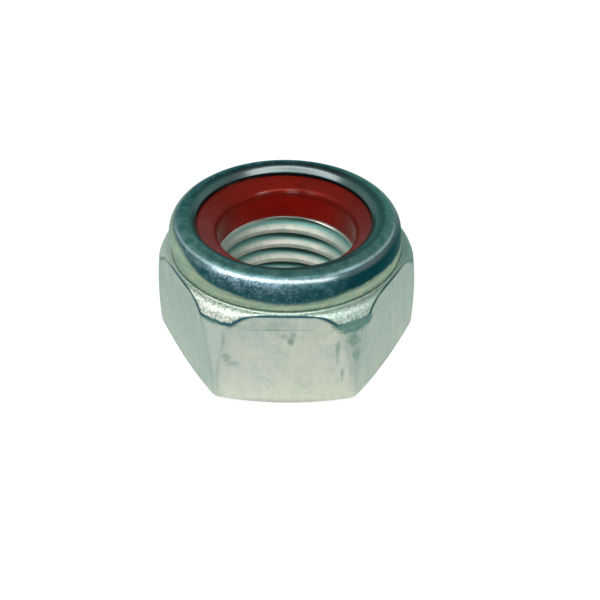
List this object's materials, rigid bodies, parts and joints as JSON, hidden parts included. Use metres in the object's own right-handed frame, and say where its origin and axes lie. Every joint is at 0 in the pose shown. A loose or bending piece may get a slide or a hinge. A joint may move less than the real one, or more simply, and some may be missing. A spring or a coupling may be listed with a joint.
{
  "type": "nylon insert lock nut",
  "caption": "Hexagonal steel lock nut with a rolled collar that holds a red nylon ring above a coarse right-hand thread.",
  "frame": {"origin": "centre of the bearing face, on the thread's axis", "axes": "+Z along the thread's axis towards the insert, with two flats facing -Y and +Y and two corners on the X axis"},
  "size_m": [0.0346, 0.03, 0.0187],
  "materials": {
    "zinc_plated_steel": "satin zinc plating, pale grey-green, glossier and darker on the rolled collar",
    "red_nylon": "glossy, slightly translucent deep red nylon"
  },
  "bodies": {
    "root": {"nut_body": "zinc_plated_steel", "locking_insert": "red_nylon"}
  },
  "joints": []
}
